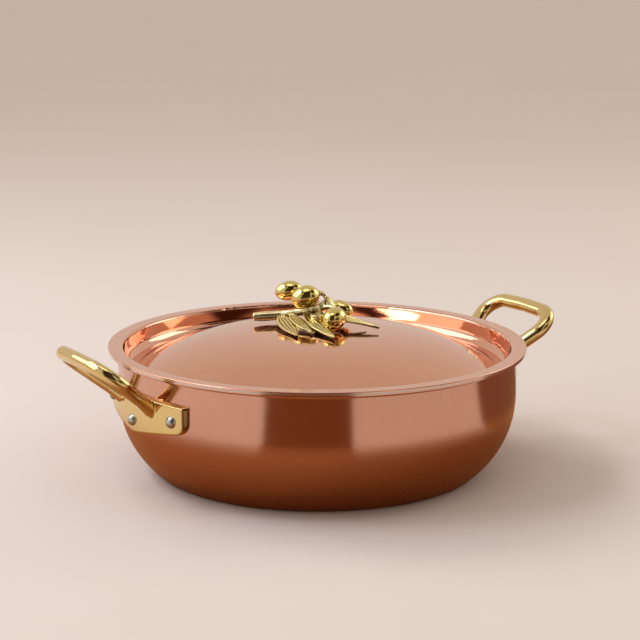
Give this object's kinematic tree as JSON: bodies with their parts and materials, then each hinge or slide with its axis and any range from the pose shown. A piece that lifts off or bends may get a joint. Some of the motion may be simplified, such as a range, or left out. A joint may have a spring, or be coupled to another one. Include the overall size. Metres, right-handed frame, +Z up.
{
  "type": "saute pan",
  "caption": "Round copper saute pan with a lift-off domed lid, cast brass loop handles riveted to the wall and an olive sprig knob.",
  "frame": {"origin": "centre of the flat base's underside, in the plane it rests on", "axes": "+Z up through the lid's centre, +X through the right handle"},
  "size_m": [0.353, 0.2764, 0.1189],
  "materials": {
    "copper": "polished copper",
    "tin": "wiped bright lining",
    "brass": "polished cast brass",
    "sprig_brass": "polished cast brass",
    "rivet_steel": "domed steel rivets",
    "screw_steel": "plain steel"
  },
  "bodies": {
    "pan": {"pan_shell": "copper", "pan_lining": "tin", "left_handle": "brass", "right_handle": "brass", "left_rivets": "rivet_steel", "right_rivets": "rivet_steel"},
    "lid": {"lid_shell": "copper", "lid_lining": "tin", "sprig_twig": "sprig_brass", "olive_top_back": "sprig_brass", "olive_top_front": "sprig_brass", "olive_low_front": "sprig_brass", "olive_low_back": "sprig_brass", "leaf_front_broad": "sprig_brass", "leaf_front_short": "sprig_brass", "leaf_front_long": "sprig_brass", "leaf_right_upper": "sprig_brass", "leaf_right_lower": "sprig_brass", "leaf_top": "sprig_brass", "sprig_screw": "screw_steel", "sprig_washer": "screw_steel"}
  },
  "joints": [
    {"name": "lid_lift", "type": "slide", "parent": "pan", "child": "lid", "axis": [0, 0, 1], "range_m": [0, 0.12]}
  ]
}
